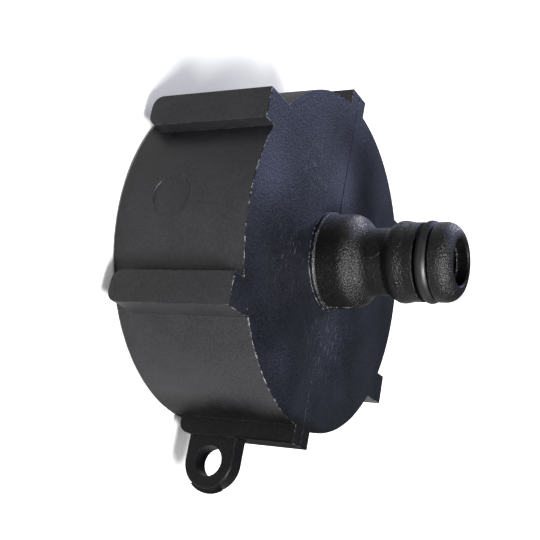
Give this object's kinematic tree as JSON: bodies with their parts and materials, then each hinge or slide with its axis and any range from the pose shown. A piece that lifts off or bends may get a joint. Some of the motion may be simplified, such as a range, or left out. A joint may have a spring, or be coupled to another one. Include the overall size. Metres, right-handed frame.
{
  "type": "hose adapter",
  "caption": "Ribbed screw cap with an inner coarse buttress thread and a flat gasket, and a push-fit garden-hose nipple with an O-ring on its face; a tether eye stands on its side.",
  "frame": {"origin": "on the thread's axis, in the plane of the cap's open rim, on which the part stands", "axes": "+Z along the axis, out of the nipple; +X towards the tether eye; the mould parts in the XZ plane"},
  "size_m": [0.0869, 0.069, 0.056],
  "materials": {
    "moulded_plastic": "black moulded polypropylene, satin, with a fine grain on the nipple",
    "gasket_rubber": "matt black rubber sheet",
    "o_ring_rubber": "smooth black rubber, slightly glossy"
  },
  "bodies": {
    "root": {"adapter_body": "moulded_plastic", "flat_gasket": "gasket_rubber", "nipple_o_ring": "o_ring_rubber"}
  },
  "joints": []
}
